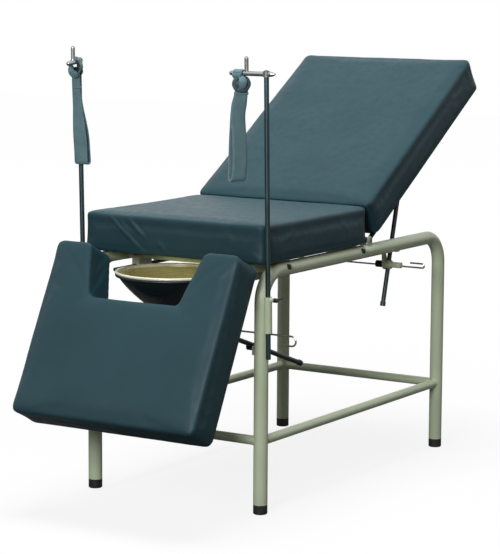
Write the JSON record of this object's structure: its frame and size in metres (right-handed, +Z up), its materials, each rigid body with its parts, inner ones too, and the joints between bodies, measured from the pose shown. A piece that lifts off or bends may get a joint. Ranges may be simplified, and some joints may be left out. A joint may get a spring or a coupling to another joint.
{
  "type": "obstetric delivery table",
  "caption": "Delivery table: tube frame, tilting backrest, drop-down leg section with a cut-out over a sliding basin, and strap poles.",
  "frame": {"origin": "on the floor under the middle of the table's bounding box", "axes": "+Z up, +Y along the table towards the head end, +X across it to the right-hand side seen from the foot end looking at the head end"},
  "size_m": [0.69, 1.5456, 1.2171],
  "materials": {
    "frame_paint": "satin",
    "rubber": "matt",
    "vinyl": "semi-gloss grain",
    "board": "raw plywood",
    "dark_steel": "satin",
    "steel": "bright plated",
    "pole_steel": "drawn",
    "webbing": "woven",
    "basin_steel": "polished",
    "knob_plastic": "matt"
  },
  "bodies": {
    "frame": {"side_frame_right": "frame_paint", "side_frame_left": "frame_paint", "side_stretchers": "frame_paint", "cross_stretchers": "frame_paint", "front_cross_tube": "frame_paint", "rear_cross_tube": "frame_paint", "rail_bolts": "dark_steel", "foot_front_right": "rubber", "foot_front_left": "rubber", "foot_rear_right": "rubber", "foot_rear_left": "rubber", "seat_frame": "dark_steel", "seat_board": "board", "seat_pad": "vinyl", "seat_screws": "steel", "back_hinge_ears": "frame_paint", "back_hinge_pins": "steel", "leg_hinge_arms": "frame_paint", "leg_hinge_pins": "steel", "back_hanger_right": "frame_paint", "back_hanger_left": "frame_paint", "leg_hanger_right": "frame_paint", "leg_hanger_left": "frame_paint", "socket_right": "frame_paint", "socket_left": "frame_paint", "basin_guides": "knob_plastic"},
    "back_section": {"back_frame": "dark_steel", "back_board": "board", "back_pad": "vinyl", "back_screws": "steel"},
    "leg_section": {"leg_frame": "dark_steel", "leg_board": "board", "leg_pad": "vinyl", "leg_screws": "steel"},
    "back_clamps": {"back_clamp_right": "frame_paint", "back_clamp_left": "frame_paint", "back_knobs": "knob_plastic"},
    "back_struts": {"back_strut_right": "dark_steel", "back_strut_left": "dark_steel"},
    "back_release": {"back_release_wire": "steel"},
    "leg_clamps": {"leg_clamp_right": "frame_paint", "leg_clamp_left": "frame_paint", "leg_knobs": "knob_plastic"},
    "leg_struts": {"leg_strut_right": "dark_steel", "leg_strut_left": "dark_steel"},
    "leg_release": {"leg_release_wire": "steel"},
    "socket_screw_right": {"socket_screw_right": "dark_steel"},
    "socket_screw_left": {"socket_screw_left": "dark_steel"},
    "pole_right": {"pole_right": "pole_steel"},
    "pole_left": {"pole_left": "pole_steel"},
    "cross_bar_right": {"cross_bar_right": "pole_steel"},
    "cross_bar_left": {"cross_bar_left": "pole_steel"},
    "strap_right": {"strap_right": "webbing", "strap_keeper_right": "webbing"},
    "strap_left": {"strap_left": "webbing", "strap_keeper_left": "webbing"},
    "basin_slide": {"basin_carrier": "dark_steel"},
    "basin": {"basin": "basin_steel"}
  },
  "joints": [
    {"name": "back_hinge", "type": "hinge", "parent": "frame", "child": "back_section", "pos_m": [0, 0.12721, 0.671], "axis": [1, 0, 0], "range_deg": [-32, 5]},
    {"name": "back_clamp_turn", "type": "hinge", "parent": "frame", "child": "back_clamps", "pos_m": [0, 0.31821, 0.578], "axis": [1, 0, 0], "range_deg": [-37.22, 5.98]},
    {"name": "back_strut_slide", "type": "slide", "parent": "back_clamps", "child": "back_struts", "axis": [0, 0.2566, 0.9665], "range_m": [-0.11674, 0.01866]},
    {"name": "back_release_turn", "type": "hinge", "parent": "back_clamps", "child": "back_release", "pos_m": [0, 0.33754, 0.57287], "axis": [1, 0, 0], "range_deg": [0, 20], "stiffness_Nm_per_rad": 0.5, "springref_deg": -5.73},
    {"name": "leg_hinge", "type": "hinge", "parent": "frame", "child": "leg_section", "pos_m": [0, -0.45779, 0.652], "axis": [-1, 0, 0], "range_deg": [-10, 63.5]},
    {"name": "leg_clamp_turn", "type": "hinge", "parent": "frame", "child": "leg_clamps", "pos_m": [0, -0.38479, 0.436], "axis": [-1, 0, 0], "range_deg": [-3.28, 19.74]},
    {"name": "leg_strut_slide", "type": "slide", "parent": "leg_clamps", "child": "leg_struts", "axis": [0, -0.9451, 0.3267], "range_m": [-0.02803, 0.17529]},
    {"name": "leg_release_turn", "type": "hinge", "parent": "leg_clamps", "child": "leg_release", "pos_m": [0, -0.37238, 0.47191], "axis": [1, 0, 0], "range_deg": [0, 20], "stiffness_Nm_per_rad": 0.5, "springref_deg": -5.73},
    {"name": "socket_screw_turn_right", "type": "hinge", "parent": "frame", "child": "socket_screw_right", "pos_m": [0.29686, -0.43826, 0.57449], "axis": [1, 0, 0], "continuous": true},
    {"name": "pole_height_right", "type": "slide", "parent": "frame", "child": "pole_right", "axis": [0, -0.0262, 0.9997], "range_m": [-0.1, 0.06]},
    {"name": "cross_bar_turn_right", "type": "hinge", "parent": "pole_right", "child": "cross_bar_right", "pos_m": [0.29686, -0.45332, 1.14979], "axis": [0, -0.0262, 0.9997], "continuous": true},
    {"name": "strap_swing_right", "type": "hinge", "parent": "cross_bar_right", "child": "strap_right", "pos_m": [0.21786, -0.45352, 1.15754], "axis": [1, 0, 0], "range_deg": [-70, 70]},
    {"name": "socket_screw_turn_left", "type": "hinge", "parent": "frame", "child": "socket_screw_left", "pos_m": [-0.29686, -0.43826, 0.57449], "axis": [-1, 0, 0], "continuous": true},
    {"name": "pole_height_left", "type": "slide", "parent": "frame", "child": "pole_left", "axis": [0, -0.0262, 0.9997], "range_m": [-0.1, 0.06]},
    {"name": "cross_bar_turn_left", "type": "hinge", "parent": "pole_left", "child": "cross_bar_left", "pos_m": [-0.29686, -0.45332, 1.14979], "axis": [0, -0.0262, 0.9997], "continuous": true},
    {"name": "strap_swing_left", "type": "hinge", "parent": "cross_bar_left", "child": "strap_left", "pos_m": [-0.28488, -0.48363, 1.17375], "axis": [-0.3746, 0.9269, 0.0243], "range_deg": [-70, 70]},
    {"name": "basin_slide_back", "type": "slide", "parent": "frame", "child": "basin_slide", "axis": [0, 1, 0], "range_m": [-0.01, 0.085]},
    {"name": "basin_lift", "type": "slide", "parent": "basin_slide", "child": "basin", "axis": [0, 0, 1], "range_m": [0, 0.004]}
  ],
  "couplings": [
    {"joint": "back_clamp_turn", "follows": "back_hinge", "ratio": 1.1569},
    {"joint": "back_strut_slide", "follows": "back_hinge", "m_per_rad": 0.20813},
    {"joint": "leg_clamp_turn", "follows": "leg_hinge", "ratio": 0.30765},
    {"joint": "leg_strut_slide", "follows": "leg_hinge", "m_per_rad": 0.15771}
  ]
}
